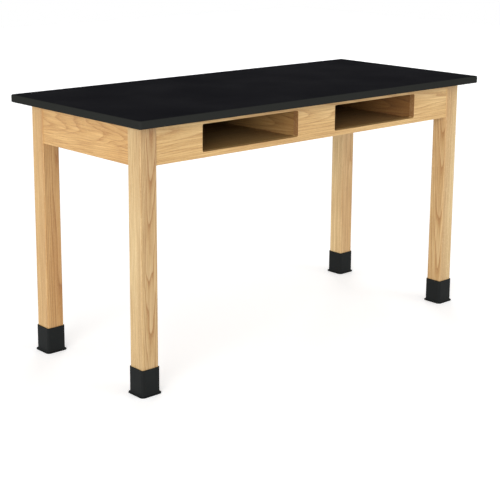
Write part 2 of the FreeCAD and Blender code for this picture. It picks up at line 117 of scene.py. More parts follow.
# Stage: white paper on the floor, under a white surround. lift is the paper's own glow as the
# camera and the reflections see it, which brings unshaded paper just up to white and leaves
# the object's soft shadow on it.
stageLook = {
    "halfWidth": 9.0, "paper": "#f2f2f2", "mottle": "#eeeeee", "mottleSize": 0.4,
    "glow": "#ffffff", "lift": 0.42, "roughness": 0.8,
    "surround": "#ffffff", "surroundStrength": 0.56,
}


def seenDirectly(tree):
    # 1 for camera, glossy and transmission rays, 0 for the rays that light the object
    path = addNode(tree, "ShaderNodeLightPath").outputs
    seen = addNode(tree, "ShaderNodeMath", {"operation": "MAXIMUM"},
                   {0: path["Is Camera Ray"], 1: path["Is Glossy Ray"]})
    return addNode(tree, "ShaderNodeMath", {"operation": "MAXIMUM"},
                   {0: seen.outputs[0], 1: path["Is Transmission Ray"]}).outputs[0]


def paintPaper(tree, coords, look):
    mottle = addNode(tree, "ShaderNodeTexNoise", {"Scale": 1 / look["mottleSize"]},
                     {"Vector": coords})
    colour = addNode(tree, "ShaderNodeMix",
                     {"data_type": "RGBA", colourA: toLinear(look["paper"]),
                      colourB: toLinear(look["mottle"])}, {"Factor": mottle.outputs["Fac"]})
    lift = addNode(tree, "ShaderNodeMath", {"operation": "MULTIPLY", 1: look["lift"]},
                   {0: seenDirectly(tree)})
    return ({"Roughness": look["roughness"], "Specular IOR Level": 0.0,
             "Emission Color": toLinear(look["glow"])},
            {"Base Color": colour.outputs[colourOut], "Emission Strength": lift.outputs[0]})


def makeStage(look):
    half = look["halfWidth"]
    corners = [(-half, -half, 0), (half, -half, 0), (half, half, 0), (-half, half, 0)]
    mesh = bpy.data.meshes.new("floor")
    mesh.from_pydata(corners, [], [(0, 1, 2, 3)])
    mesh.materials.append(makeMaterial("WhitePaper", paintPaper, look))
    floor = bpy.data.objects.new("floor", mesh)
    bpy.context.scene.collection.objects.link(floor)
    world = bpy.data.worlds.new("surround")
    bpy.context.scene.world = world
    world.use_nodes = True
    tree = world.node_tree
    tree.nodes.clear()
    strength = addNode(tree, "ShaderNodeMapRange",
                       {"To Min": look["surroundStrength"], "To Max": 1.0},
                       {"Value": seenDirectly(tree)})
    glow = addNode(tree, "ShaderNodeBackground", {"Color": toLinear(look["surround"])},
                   {"Strength": strength.outputs[0]})
    addNode(tree, "ShaderNodeOutputWorld", {}, {"Surface": glow.outputs[0]})


# Softboxes: where each stands, its side in metres and its power in watts. All face the middle
# of the table. The back one stays out of the reflections, or it would whiten the top.
softboxes = {
    "keyLeft": {"place": (-14.0, -8.4, 2.9), "side": 8.4, "power": 2100, "glossy": True},
    "fillFront": {"place": (3.2, -6.6, 2.6), "side": 4.2, "power": 105, "glossy": True},
    "fillBack": {"place": (8.5, 9.5, 3.5), "side": 6.0, "power": 600, "glossy": False},
}
softboxTarget = (0, 0, 0.45)


def makeSoftbox(name, box):
    lamp = bpy.data.lights.new(name, "AREA")
    lamp.size = box["side"]
    lamp.energy = box["power"]
    holder = bpy.data.objects.new(name, lamp)
    bpy.context.scene.collection.objects.link(holder)
    holder.location = box["place"]
    aim = Vector(softboxTarget) - Vector(box["place"])
    holder.rotation_euler = aim.to_track_quat("-Z", "Y").to_euler()
    holder.visible_camera = False
    holder.visible_glossy = box["glossy"]


makeStage(stageLook)
for name, box in softboxes.items():
    makeSoftbox(name, box)
print("camera, floor and lamps set")

# Oak: ring-porous wood, plain sawn, planed and sprayed with clear satin lacquer. The eye gets
# pale late wood, a darker porous line at the start of each ring, short dark pores along the
# grain, small pale ray flecks on faces that were sawn towards the heart, and a tone that
# deepens towards the heart. Each board is cut from a log of its own: the log's heart runs
# beside the board, tilted a little, so that faces across the rings show cathedral figures
# and faces along them show straight lines.
oakLook = {
    "ringWidth": 3.4 * mm, "ringUneven": 1.6, "unevenEvery": 0.22,
    "wobbleAcross": 60 * mm, "wobbleAlong": 420 * mm, "wobbleDepth": 9 * mm,
    "streakAcross": 6.0 * mm, "streakAlong": 260 * mm,   # real streaks are finer; these still show
    "poreAcross": 0.55 * mm, "poreAlong": 14 * mm, "poreLow": 0.52, "poreHigh": 0.66,
    "earlyFull": 0.05, "earlyEnd": 0.55, "lateShare": 0.15,
    "rayAcross": 0.9 * mm, "rayDeep": 9 * mm, "rayAlong": 7 * mm, "rayRadius": 90 * mm,
    "rayLow": 0.6, "rayHigh": 0.7,
    "cloudAcross": 70 * mm, "cloudAlong": 380 * mm,
    "sapNear": 45 * mm, "sapFar": 115 * mm,
    "rings": [(0.0, "#c1975f"), (0.1, "#cda76d"), (0.3, "#e4ca95"),
              (0.55, "#ead3a1"), (0.93, "#f0dcaf"), (1.0, "#dcc18d")],
    "mean": "#e8d09e", "streaks": [(0.3, "#d3c0a8"), (0.68, "#ffffff")],
    "hairAcross": 2.4 * mm, "hairAlong": 120 * mm, "hairs": [(0.3, "#cdb79c"), (0.62, "#ffffff")],
    "clouds": [(0.3, "#e6d6bf"), (0.7, "#ffffff")],
    "heartTint": "#e2cbb0", "pore": "#7d5630", "ray": "#f2d6a8",
    # The end tint is partly the end grain's own darkening and partly painted shade
    "tone": "#ffffff", "endTintAndShade": "#c4b8a9", "endFrom": 0.6, "endTo": 0.95,
    "ringDepth": 0.6, "streakDepth": 0.6, "hairDepth": 0.5, "cloudDepth": 0.6,
    "poreDepth": 0.4, "rayDepth": 0.12,
    "ior": 1.5, "roughness": 0.44, "dull": 0.18, "coat": 0.1, "coatRoughness": 0.3,
    "bump": 0.12, "bumpDepth": 0.15 * mm,
}


def paintOak(tree, coords, look):
    log = addNode(tree, "ShaderNodeMapping",
                  {"vector_type": "TEXTURE", "Location": look["heart"], "Rotation": look["turn"]},
                  {"Vector": coords}).outputs[0]

    # The log bends slowly along its length, which makes the rings wander
    reach = (look["wobbleAcross"], look["wobbleAcross"], look["wobbleAlong"])
    slow = addNode(tree, "ShaderNodeVectorMath", {"operation": "DIVIDE", 1: reach}, {0: log})
    wander = addNode(tree, "ShaderNodeTexNoise", {"Scale": 1.0, "Detail": 2.0},
                     {"Vector": slow.outputs[0]})
    bent = addNode(tree, "ShaderNodeVectorMath",
                   {"operation": "MULTIPLY_ADD", 1: (look["wobbleDepth"], look["wobbleDepth"], 0)},
                   {0: wander.outputs["Color"], 2: log}).outputs[0]

    # Rings: the distance from the heart, counted in ring widths that vary a little
    flat = addNode(tree, "ShaderNodeVectorMath", {"operation": "MULTIPLY", 1: (1, 1, 0)},
                   {0: bent})
    radius = addNode(tree, "ShaderNodeVectorMath", {"operation": "LENGTH"},
                     {0: flat.outputs[0]}).outputs["Value"]
    count = addNode(tree, "ShaderNodeMath", {"operation": "DIVIDE", 1: look["ringWidth"]},
                    {0: radius})
    uneven = addNode(tree, "ShaderNodeTexNoise",
                     {"noise_dimensions": "1D", "Scale": look["unevenEvery"], "Detail": 1.0},
                     {"W": count.outputs[0]})
    age = addNode(tree, "ShaderNodeMath", {"operation": "MULTIPLY_ADD", 1: look["ringUneven"]},
                  {0: uneven.outputs["Fac"], 2: count.outputs[0]})
    season = addNode(tree, "ShaderNodeMath", {"operation": "FRACT"}, {0: age.outputs[0]}).outputs[0]
    rings = addNode(tree, "ShaderNodeValToRGB", {"stops": look["rings"]}, {"Fac": season})
    colour = addNode(tree, "ShaderNodeMix",
                     {"data_type": "RGBA", "Factor": look["ringDepth"],
                      colourA: toLinear(look["mean"])},
                     {colourB: rings.outputs["Color"]}).outputs[colourOut]

    # Sapwood is paler than the wood near the heart
    sap = addNode(tree, "ShaderNodeMapRange",
                  {"From Min": look["sapNear"], "From Max": look["sapFar"]}, {"Value": radius})
    tint = addNode(tree, "ShaderNodeMix",
                   {"data_type": "RGBA", colourA: toLinear(look["heartTint"]),
                    colourB: toLinear(look["tone"])}, {"Factor": sap.outputs[0]})
    colour = addNode(tree, "ShaderNodeMix",
                     {"data_type": "RGBA", "blend_type": "MULTIPLY", "Factor": 1.0},
                     {colourA: colour, colourB: tint.outputs[colourOut]}).outputs[colourOut]

    # End grain drinks in the lacquer, which darkens it; the tint is deeper than that alone, as
    # painted shade on end-grain faces such as the cut ends of the front apron's openings
    normal = addNode(tree, "ShaderNodeTexCoord").outputs["Normal"]
    cross = addNode(tree, "ShaderNodeVectorMath", {"operation": "DOT_PRODUCT", 1: look["way"]},
                    {0: normal})
    cross = addNode(tree, "ShaderNodeMath", {"operation": "ABSOLUTE"}, {0: cross.outputs["Value"]})
    end = addNode(tree, "ShaderNodeMapRange",
                  {"From Min": look["endFrom"], "From Max": look["endTo"]},
                  {"Value": cross.outputs[0]})
    colour = addNode(tree, "ShaderNodeMix",
                     {"data_type": "RGBA", "blend_type": "MULTIPLY",
                      colourB: toLinear(look["endTintAndShade"])},
                     {"Factor": end.outputs[0], colourA: colour}).outputs[colourOut]

    # Long streaks, finer hairlines and slow clouds of tone along the grain
    for part in ("streak", "hair", "cloud"):
        size = (look[part + "Across"], look[part + "Across"], look[part + "Along"])
        fine = addNode(tree, "ShaderNodeVectorMath", {"operation": "DIVIDE", 1: size}, {0: bent})
        noise = addNode(tree, "ShaderNodeTexNoise", {"Scale": 1.0, "Detail": 3.0},
                        {"Vector": fine.outputs[0]})
        tone = addNode(tree, "ShaderNodeValToRGB", {"stops": look[part + "s"]},
                       {"Fac": noise.outputs["Fac"]})
        colour = addNode(tree, "ShaderNodeMix",
                         {"data_type": "RGBA", "blend_type": "MULTIPLY",
                          "Factor": look[part + "Depth"]},
                         {colourA: colour, colourB: tone.outputs["Color"]}).outputs[colourOut]

    # Pores: short dark strokes, most of them in the early wood
    size = (look["poreAcross"], look["poreAcross"], look["poreAlong"])
    fine = addNode(tree, "ShaderNodeVectorMath", {"operation": "DIVIDE", 1: size}, {0: bent})
    pits = addNode(tree, "ShaderNodeTexNoise", {"Scale": 1.0, "Detail": 1.0},
                   {"Vector": fine.outputs[0]})
    cut = addNode(tree, "ShaderNodeMapRange",
                  {"From Min": look["poreLow"], "From Max": look["poreHigh"]},
                  {"Value": pits.outputs["Fac"]})
    early = addNode(tree, "ShaderNodeMapRange",
                    {"From Min": look["earlyEnd"], "From Max": look["earlyFull"],
                     "To Min": look["lateShare"]}, {"Value": season})
    pore = addNode(tree, "ShaderNodeMath", {"operation": "MULTIPLY"},
                   {0: cut.outputs[0], 1: early.outputs[0]}).outputs[0]
    share = addNode(tree, "ShaderNodeMath", {"operation": "MULTIPLY", 1: look["poreDepth"]},
                    {0: pore})
    colour = addNode(tree, "ShaderNodeMix",
                     {"data_type": "RGBA", colourB: toLinear(look["pore"])},
                     {"Factor": share.outputs[0], colourA: colour}).outputs[colourOut]

    # Ray flecks: thin plates that stand on the heart, so they are wide only on radial faces
    around = addNode(tree, "ShaderNodeTexGradient", {"gradient_type": "RADIAL"},
                     {"Vector": bent}).outputs["Fac"]
    height = addNode(tree, "ShaderNodeSeparateXYZ", {}, {0: bent}).outputs["Z"]
    plate = addNode(tree, "ShaderNodeCombineXYZ", {}, {0: around, 1: radius, 2: height}).outputs[0]
    turnShare = look["rayAcross"] / (2 * math.pi * look["rayRadius"])
    size = (turnShare, look["rayDeep"], look["rayAlong"])
    fine = addNode(tree, "ShaderNodeVectorMath", {"operation": "DIVIDE", 1: size}, {0: plate})
    rays = addNode(tree, "ShaderNodeTexNoise", {"Scale": 1.0, "Detail": 0.0},
                   {"Vector": fine.outputs[0]})
    fleck = addNode(tree, "ShaderNodeMapRange",
                    {"From Min": look["rayLow"], "From Max": look["rayHigh"],
                     "To Max": look["rayDepth"]}, {"Value": rays.outputs["Fac"]})
    colour = addNode(tree, "ShaderNodeMix",
                     {"data_type": "RGBA", colourB: toLinear(look["ray"])},
                     {"Factor": fleck.outputs[0], colourA: colour}).outputs[colourOut]

    # The lacquer lies a little lower over the open pores, and is a little duller there
    rough = addNode(tree, "ShaderNodeMapRange",
                    {"To Min": look["roughness"], "To Max": look["roughness"] + look["dull"]},
                    {"Value": pore})
    sunk = addNode(tree, "ShaderNodeMath", {"operation": "MULTIPLY", 1: -1.0}, {0: pore})
    relief = addNode(tree, "ShaderNodeBump",
                     {"Strength": look["bump"], "Distance": look["bumpDepth"]},
                     {"Height": sunk.outputs[0]})
    return ({"IOR": look["ior"], "Coat Weight": look["coat"],
             "Coat Roughness": look["coatRoughness"]},
            {"Base Color": colour, "Roughness": rough.outputs[0], "Normal": relief.outputs[0]})


# Which way a log lies, in degrees: its own Z axis runs along the board's grain
grainTurns = {"x": (0, 90, 0), "y": (-90, 0, 0), "z": (0, 0, 0)}
grainWays = {"x": (1, 0, 0), "y": (0, 1, 0), "z": (0, 0, 1)}

# For each board: its grain, where the log's heart passes, measured from the board's middle
# in millimetres, how far the log is tilted, in degrees, and what else sets the board apart
boards = {
    # The front left leg's darker heart tint and the tilt of its heart deepen its tone towards the
    # top: painted shade under the slab, over the real heartwood tone
    "front_left_leg": {"grain": "z", "heart": (10, -60, -98), "tilt": (-1.6, 0.8, 0),
                       "ringDepth": 0.9, "ringUneven": 4.0, "wobbleAcross": 40 * mm,
                       "wobbleAlong": 260 * mm, "wobbleDepth": 13 * mm,
                       "sapNear": 0, "sapFar": 70 * mm, "heartTint": "#c9ad90"},
    "front_right_leg": {"grain": "z", "heart": (-92, -12, 0), "tilt": (0.3, 1.3, 0),
                        "ringDepth": 0.8},
    "back_left_leg": {"grain": "z", "heart": (26, -80, 0), "tilt": (-0.5, 0.4, 0),
                      "ringDepth": 0.8, "sapFar": 105 * mm, "tone": "#fcf0de",
                      "heartTint": "#e0c3a4"},
    # The back right leg's paler mean is painted light that makes up for the shade under the slab,
    # and its heart near the front face darkens that face as painted shade
    "back_right_leg": {"grain": "z", "heart": (20, -105, 0), "tilt": (0.5, -0.4, 0),
                       "mean": "#fbdfa9", "ringDepth": 0.5, "cloudDepth": 0.3,
                       "heartTint": "#c9a478"},
    # The front apron's darker end tint is painted shade on the cut ends of its openings
    "front_apron": {"grain": "x", "heart": (0, 115, 18), "tilt": (0, 0.2, 0.9), "tone": "#fff2dc",
                    "ringWidth": 2.7 * mm, "ringDepth": 0.5, "endTintAndShade": "#b5a5a1"},
    "back_apron": {"grain": "x", "heart": (0, -110, -25), "tilt": (0, -0.3, 0.7)},
    "left_apron": {"grain": "y", "heart": (110, 0, 10), "tilt": (0.5, 0, 1.6), "tone": "#fde8ca",
                   "ringWidth": 2.7 * mm, "ringDepth": 0.45, "wobbleDepth": 16 * mm},
    "right_apron": {"grain": "y", "heart": (-90, 0, -22), "tilt": (-0.4, 0, -1.2)},
}


def setMaterial(node, material):
    frame["nodes"][node].material_slots[0].material = material


def nodeMiddle(node):
    low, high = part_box(node)
    return np.array((low + high) / 2)


def dressBoard(node, finish, board, look):
    heart = nodeMiddle(node) + np.array(board["heart"]) * mm
    lie = (np.array(grainTurns[board["grain"]]) + np.array(board["tilt"])) * degree
    placed = {**look, **board, "heart": heart.tolist(), "turn": lie.tolist(),
              "way": grainWays[board["grain"]]}
    setMaterial(node, makeMaterial(finish + "_" + node, paintOak, placed))


for node, board in boards.items():
    dressBoard(node, "LacqueredOak", board, oakLook)
print("oak boards dressed:", len(boards))

# Compartment board: thin oak-faced board, sanded and left bare, so it is matt; its darker, browner
# colour is partly the board's own and partly painted shade for the inside of the compartments
boardLook = dict(oakLook, **{
    "rings": [(0.0, "#8c663a"), (0.1, "#977040"), (0.3, "#ab824e"),
              (0.55, "#b08953"), (0.93, "#b8915a"), (1.0, "#a67f4b")],
    "mean": "#ae8b52", "pore": "#5c3f22", "ray": "#c9a470",
    "roughness": 0.68, "coat": 0.0, "bump": 0.2,
})
panels = {
    "left_wall": {"grain": "y", "heart": (90, 0, 15), "tilt": (0.6, 0, 0.8)},
    "right_wall": {"grain": "y", "heart": (85, 0, -20), "tilt": (-0.5, 0, 1.1)},
    "back_wall": {"grain": "x", "heart": (0, 100, 12), "tilt": (0, 0.5, 0.6)},
    "floor": {"grain": "x", "heart": (0, 30, -140), "tilt": (0, 0.9, 0.3)},
}
# Painted light and shade on some panels: two on the left are painted paler, as if lit more, and
# the right compartment's right wall is painted darker, as painted shade
panelPaintedLight = {
    "left_compartment_right_wall": {"heartTint": "#ffffff"},
    "left_compartment_floor": {"mean": "#b99a60", "ringDepth": 0.3},
    "right_compartment_right_wall": {"tone": "#d7c6b1", "heartTint": "#c9b59e"},
}

# Cleats: sawn poplar, pale and a little green, with hardly any pores
cleatLook = dict(oakLook, **{
    "rings": [(0.0, "#b9a477"), (0.1, "#bfab7e"), (0.3, "#cab689"),
              (0.55, "#cdb98c"), (0.93, "#d3c095"), (1.0, "#cbb78a")],
    "mean": "#ccb88b", "poreDepth": 0.08, "rayDepth": 0.05,
    "roughness": 0.75, "coat": 0.0, "bump": 0.25,
})
cleat = {"grain": "y", "heart": (35, 0, 60), "tilt": (0, 0, 0)}

for side in ("left", "right"):
    for part, board in panels.items():
        node = side + "_compartment_" + part
        dressBoard(node, "BareOakBoard", {**board, **panelPaintedLight.get(node, {})}, boardLook)
    for wall in ("left", "right"):
        dressBoard(side + "_compartment_" + wall + "_cleat", "SawnPoplar", cleat, cleatLook)
print("compartments and cleats dressed")

# Slab: phenolic resin, pressed flat, then sawn and bevelled. The pressed top has hardly any shine.
# Its colour is mixed by which way each face points: the top is painted a deeper black than the
# machined sides, partly the pressed face's own tone and partly painted shade on the top.
slabLook = {
    "face": "#101014", "edge": "#2b2c2a", "shadedTopFrom": 0.80, "shadedTopTo": 0.98,
    "speck": "#34373a", "speckSize": 1.2 * mm, "speckLow": 0.62, "speckHigh": 0.72,
    "speckDepth": 0.25, "grainSize": 0.6 * mm, "bump": 0.05, "bumpDepth": 0.05 * mm,
    "cloudSize": 180 * mm, "cloudLow": 0.3, "cloudHigh": 0.7,
    "roughLow": 0.6, "roughHigh": 0.72, "ior": 1.5, "specular": 0.002,
}


def paintResin(tree, coords, look):
    normal = addNode(tree, "ShaderNodeTexCoord").outputs["Normal"]
    up = addNode(tree, "ShaderNodeSeparateXYZ", {}, {0: normal}).outputs["Z"]
    # Faces that point up get the deeper black: partly the resin's own tone, partly painted shade on
    # the top
    shadedTop = addNode(tree, "ShaderNodeMapRange",
                      {"From Min": look["shadedTopFrom"], "From Max": look["shadedTopTo"]}, {"Value": up})
    colour = addNode(tree, "ShaderNodeMix",
                     {"data_type": "RGBA", colourA: toLinear(look["edge"]),
                      colourB: toLinear(look["face"])},
                     {"Factor": shadedTop.outputs[0]}).outputs[colourOut]
    specks = addNode(tree, "ShaderNodeTexNoise", {"Scale": 1 / look["speckSize"], "Detail": 2.0},
                     {"Vector": coords})
    share = addNode(tree, "ShaderNodeMapRange",
                    {"From Min": look["speckLow"], "From Max": look["speckHigh"],
                     "To Max": look["speckDepth"]}, {"Value": specks.outputs["Fac"]})
    colour = addNode(tree, "ShaderNodeMix",
                     {"data_type": "RGBA", colourB: toLinear(look["speck"])},
                     {"Factor": share.outputs[0], colourA: colour}).outputs[colourOut]
    clouds = addNode(tree, "ShaderNodeTexNoise", {"Scale": 1 / look["cloudSize"], "Detail": 3.0},
                     {"Vector": coords})
    rough = addNode(tree, "ShaderNodeMapRange",
                    {"From Min": look["cloudLow"], "From Max": look["cloudHigh"],
                     "To Min": look["roughLow"], "To Max": look["roughHigh"]},
                    {"Value": clouds.outputs["Fac"]})
    grain = addNode(tree, "ShaderNodeTexNoise", {"Scale": 1 / look["grainSize"], "Detail": 2.0},
                    {"Vector": coords})
    relief = addNode(tree, "ShaderNodeBump",
                     {"Strength": look["bump"], "Distance": look["bumpDepth"]},
                     {"Height": grain.outputs["Fac"]})
    return ({"IOR": look["ior"], "Specular IOR Level": look["specular"]},
            {"Base Color": colour, "Roughness": rough.outputs[0], "Normal": relief.outputs[0]})


# Rubber: black, moulded, satin, with the fine grain of the mould. Nylon is the same, glossier.
rubberLook = {
    "colour": "#191b1b", "worn": "#212423", "cloudSize": 30 * mm,
    "wornLow": 0.5, "wornHigh": 0.75, "wornDepth": 0.5,
    "roughLow": 0.5, "roughHigh": 0.64, "ior": 1.5, "specular": 0.09,
    "grainSize": 0.8 * mm, "bump": 0.08, "bumpDepth": 0.08 * mm,
}
nylonLook = dict(rubberLook, **{
    "colour": "#1d1e1f", "worn": "#27282a", "roughLow": 0.38, "roughHigh": 0.5,
})


def paintMoulded(tree, coords, look):
    clouds = addNode(tree, "ShaderNodeTexNoise", {"Scale": 1 / look["cloudSize"], "Detail": 4.0},
                     {"Vector": coords})
    share = addNode(tree, "ShaderNodeMapRange",
                    {"From Min": look["wornLow"], "From Max": look["wornHigh"],
                     "To Max": look["wornDepth"]}, {"Value": clouds.outputs["Fac"]})
    colour = addNode(tree, "ShaderNodeMix",
                     {"data_type": "RGBA", colourA: toLinear(look["colour"]),
                      colourB: toLinear(look["worn"])},
                     {"Factor": share.outputs[0]}).outputs[colourOut]
    rough = addNode(tree, "ShaderNodeMapRange",
                    {"To Min": look["roughLow"], "To Max": look["roughHigh"]},
                    {"Value": clouds.outputs["Fac"]})
    grain = addNode(tree, "ShaderNodeTexNoise", {"Scale": 1 / look["grainSize"], "Detail": 1.0},
                    {"Vector": coords})
    relief = addNode(tree, "ShaderNodeBump",
                     {"Strength": look["bump"], "Distance": look["bumpDepth"]},
                     {"Height": grain.outputs["Fac"]})
    return ({"IOR": look["ior"], "Specular IOR Level": look["specular"]},
            {"Base Color": colour, "Roughness": rough.outputs[0], "Normal": relief.outputs[0]})


# Hardware: low-carbon steel, bright zinc plated, a soft white metal with a faint blue cast
zincLook = {
    "colour": "#b9bcc1", "dull": "#9b9ea3", "cloudSize": 12 * mm, "grainSize": 0.5 * mm,
    "roughLow": 0.3, "roughHigh": 0.48, "bump": 0.06, "bumpDepth": 0.05 * mm,
}


def paintZinc(tree, coords, look):
    clouds = addNode(tree, "ShaderNodeTexNoise", {"Scale": 1 / look["cloudSize"], "Detail": 3.0},
                     {"Vector": coords})
    colour = addNode(tree, "ShaderNodeMix",
                     {"data_type": "RGBA", colourA: toLinear(look["colour"]),
                      colourB: toLinear(look["dull"])},
                     {"Factor": clouds.outputs["Fac"]}).outputs[colourOut]
    rough = addNode(tree, "ShaderNodeMapRange",
                    {"To Min": look["roughLow"], "To Max": look["roughHigh"]},
                    {"Value": clouds.outputs["Fac"]})
    grain = addNode(tree, "ShaderNodeTexNoise", {"Scale": 1 / look["grainSize"]},
                    {"Vector": coords})
    relief = addNode(tree, "ShaderNodeBump",
                     {"Strength": look["bump"], "Distance": look["bumpDepth"]},
                     {"Height": grain.outputs["Fac"]})
    return ({"Metallic": 1.0},
            {"Base Color": colour, "Roughness": rough.outputs[0], "Normal": relief.outputs[0]})


finishes = {
    "black_worktop": makeMaterial("PhenolicResin", paintResin, slabLook),
    "shoe_rubber": makeMaterial("MouldedRubber", paintMoulded, rubberLook),
    "pad_nylon": makeMaterial("MouldedNylon", paintMoulded, nylonLook),
    "zinc_plated_steel": makeMaterial("ZincPlatedSteel", paintZinc, zincLook),
}
for subpart in frame["record"]["subparts"]:
    if subpart["material_slot"] in finishes:
        setMaterial(subpart["node"], finishes[subpart["material_slot"]])
print("slab, rubber, nylon and steel dressed")


def easeCorners(corners, ring=False, steps=6, beside=1.2):
    # A line of (out, up, ease) corners made round: corner C with unit ways A and B to its
    # neighbours becomes the Bezier curve (1-t)^2 (C + ease A) + 2 t (1-t) C + t^2 (C + ease B).
    # One more point past each end of the curve, beside times the ease from C, keeps the flats
    # flat. A ring closes on itself; otherwise the two end points stay as they are.
    place = np.array([corner[:2] for corner in corners], float)
    ease = np.array([corner[2] for corner in corners], float)[:, None, None]
    before = np.roll(place, 1, axis=0) - place
    after = np.roll(place, -1, axis=0) - place
    before /= np.linalg.norm(before, axis=1, keepdims=True)
    after /= np.linalg.norm(after, axis=1, keepdims=True)
    t = np.linspace(0, 1, steps + 1)[None, :, None]
    curve = (1 - t) ** 2 * before[:, None] + t ** 2 * after[:, None]
    curve = np.concatenate([beside * before[:, None], curve, beside * after[:, None]], axis=1)
    points = place[:, None] + ease * curve
    if ring:
        return points.reshape(-1, 2)
    return np.concatenate([place[:1], points[1:-1].reshape(-1, 2), place[-1:]])


def sweepRectangle(halfX, halfY, radius, up, steps=8, support=0.4 * mm):
    # A rectangle with round corners, one for each row of half sizes, radius and height:
    # x = sx (halfX - radius) + radius cos(a), y = sy (halfY - radius) + radius sin(a), where a
    # runs a quarter turn at each corner (sx, sy), with one more point along the side at each end
    quarter = np.concatenate([[0], np.linspace(0, 1, steps + 1), [1]])
    slide = np.tile(np.concatenate([[-support], np.zeros(steps + 1), [support]]), 4)[None, :]
    angle = (np.arange(4)[:, None] + quarter[None, :]).reshape(1, -1) * math.pi / 2
    middle = (np.repeat(np.arange(4), len(quarter)) + 0.5)[None, :] * math.pi / 2
    halfX, halfY, radius, up = [np.asarray(value)[:, None] for value in (halfX, halfY, radius, up)]
    x = np.sign(np.cos(middle)) * (halfX - radius) + radius * np.cos(angle) - slide * np.sin(angle)
    y = np.sign(np.sin(middle)) * (halfY - radius) + radius * np.sin(angle) + slide * np.cos(angle)
    return np.stack([x, y, up + 0 * x], axis=-1)


def turnRound(radius, up, angle):
    # A surface of radius(up, angle) about the Z axis: x = r cos(a), y = r sin(a), z = up
    radius = radius + 0 * angle
    return np.stack([radius * np.cos(angle), radius * np.sin(angle), up + 0 * radius], axis=-1)


def threadWave(up, angle, pitch, flank):
    # Height of a screw thread from 0 at its root to 1 at its crest: a triangle wave of
    # up / pitch - angle / 2 pi, made steeper by flank and cut flat at the root and the crest
    phase = (up / pitch - angle / (2 * math.pi)) % 1
    return np.clip((np.abs(2 * phase - 1) - 0.5) * flank + 0.5, 0, 1)


def gridFaces(rows, columns, ring):
    # Quads between the rows of a grid that closes round its columns. The last row joins the
    # first in a ring; otherwise a flat face closes each end.
    row = np.arange(rows if ring else rows - 1)[:, None]
    column = np.arange(columns)[None, :]
    here, above, beside = row * columns, (row + 1) % rows * columns, (column + 1) % columns
    quads = np.stack([here + column, here + beside, above + beside, above + column], -1)
    faces = quads.reshape(-1, 4).tolist()
    if not ring:
        faces += [list(range(columns))[::-1], list(range((rows - 1) * columns, rows * columns))]
    return faces


def makePiece(name, grids, body, node, slot, sharp=35, ring=False):
    # One piece from one or more grids of points, in metres, in place of a CAD node, with a
    # crease where faces meet at more than the angle called sharp
    points, faces = [], []
    for grid in grids:
        start = sum(len(part) for part in points)
        faces += [[start + index for index in face] for face in gridFaces(*grid.shape[:2], ring)]
        points.append(grid.reshape(-1, 3))
    mesh = bpy.data.meshes.new(name)
    mesh.from_pydata(np.concatenate(points).tolist(), [], faces)
    mesh.shade_smooth()
    mesh.set_sharp_from_angle(angle=sharp * degree)
    mesh.materials.append(finishes[slot])
    piece = bpy.data.objects.new(name, mesh)
    bpy.context.scene.collection.objects.link(piece)
    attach(piece, body)
    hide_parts(node)


# Slab: straight sides with a small bevel all round, eased where it meets the flats
slabShape = {"bevel": 2.2 * mm, "ease": 0.9 * mm, "cornerRadius": 8 * mm, "flatFrom": 6 * mm}


def makeSlab(shape):
    # Profile, measured in from the side: the flat underside, bevel, side, bevel and flat top
    low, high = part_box("worktop")
    bevel, ease, flat = shape["bevel"], shape["ease"], shape["flatFrom"]
    inset, up = easeCorners([
        (flat, low[2], 0), (bevel, low[2], ease), (0, low[2] + bevel, ease),
        (0, high[2] - bevel, ease), (bevel, high[2], ease), (flat, high[2], 0)]).T
    grid = sweepRectangle(high[0] - inset, high[1] - inset, shape["cornerRadius"] - inset, up)
    makePiece("slab", [grid], "frame", "worktop", "black_worktop", sharp=60)


makeSlab(slabShape)
print("slab made")

# Shoes: a rubber sleeve with a thin lip, flaring through a cove into a flange on the floor
shoeShape = {
    "boreHalf": 27.4 * mm, "boreRadius": 3.6 * mm, "wall": 2.8 * mm, "height": 76.2 * mm,
    "reach": 7.8 * mm, "flangeHeight": 3.4 * mm, "coveRise": 0.4 * mm, "coveEase": 3.9 * mm,
    "lipEase": 0.8 * mm, "edgeEase": 1.0 * mm, "cornerGrowth": 1.08,
}


def makeShoe(corner, shape):
    # Profile, measured out from the bore: underside, flange edge, cove, sleeve, lip and bore.
    # The corner radius grows with the distance out.
    wall, reach, height, edge = shape["wall"], shape["reach"], shape["height"], shape["edgeEase"]
    coveFrom = shape["flangeHeight"] + shape["coveRise"]
    out, up = easeCorners([(0, 0, edge), (reach, 0, edge), (reach, shape["flangeHeight"], edge),
                           (wall, coveFrom, shape["coveEase"]), (wall, height, shape["lipEase"]),
                           (0, height, shape["lipEase"])], ring=True).T
    half = shape["boreHalf"] + out
    grid = sweepRectangle(half, half, shape["boreRadius"] + shape["cornerGrowth"] * out, up)
    middle = nodeMiddle(corner + "_shoe")
    grid = grid + np.array([middle[0], middle[1], 0])
    makePiece(corner + "_rubber_shoe", [grid], corner + "_leg_shoe", corner + "_shoe",
              "shoe_rubber", ring=True)


for corner in cornerNames:
    makeShoe(corner, shoeShape)
print("shoes made")

# Leveler studs: a swivel foot, a neck, a chamfered hexagon for the spanner and a machine thread
studShape = {
    "footRadius": 4.8 * mm, "footHeight": 4.0 * mm, "footEase": 0.4 * mm, "neckRadius": 3.77 * mm,
    "hexFrom": 10.0 * mm, "hexTo": 16.0 * mm, "hexFlats": 12.7 * mm, "hexFace": 0.95, "hexCone": 30,
    "hexRows": [0, 0.05, 0.1, 0.2, 0.3, 0.7, 0.8, 0.9, 0.95, 1],
    "majorRadius": 3.97 * mm, "minorRadius": 3.3 * mm, "pitch": 1.411 * mm, "flank": 1.3,
    "tip": 1.2 * mm, "columns": 48, "rowsPerTurn": 12,
}


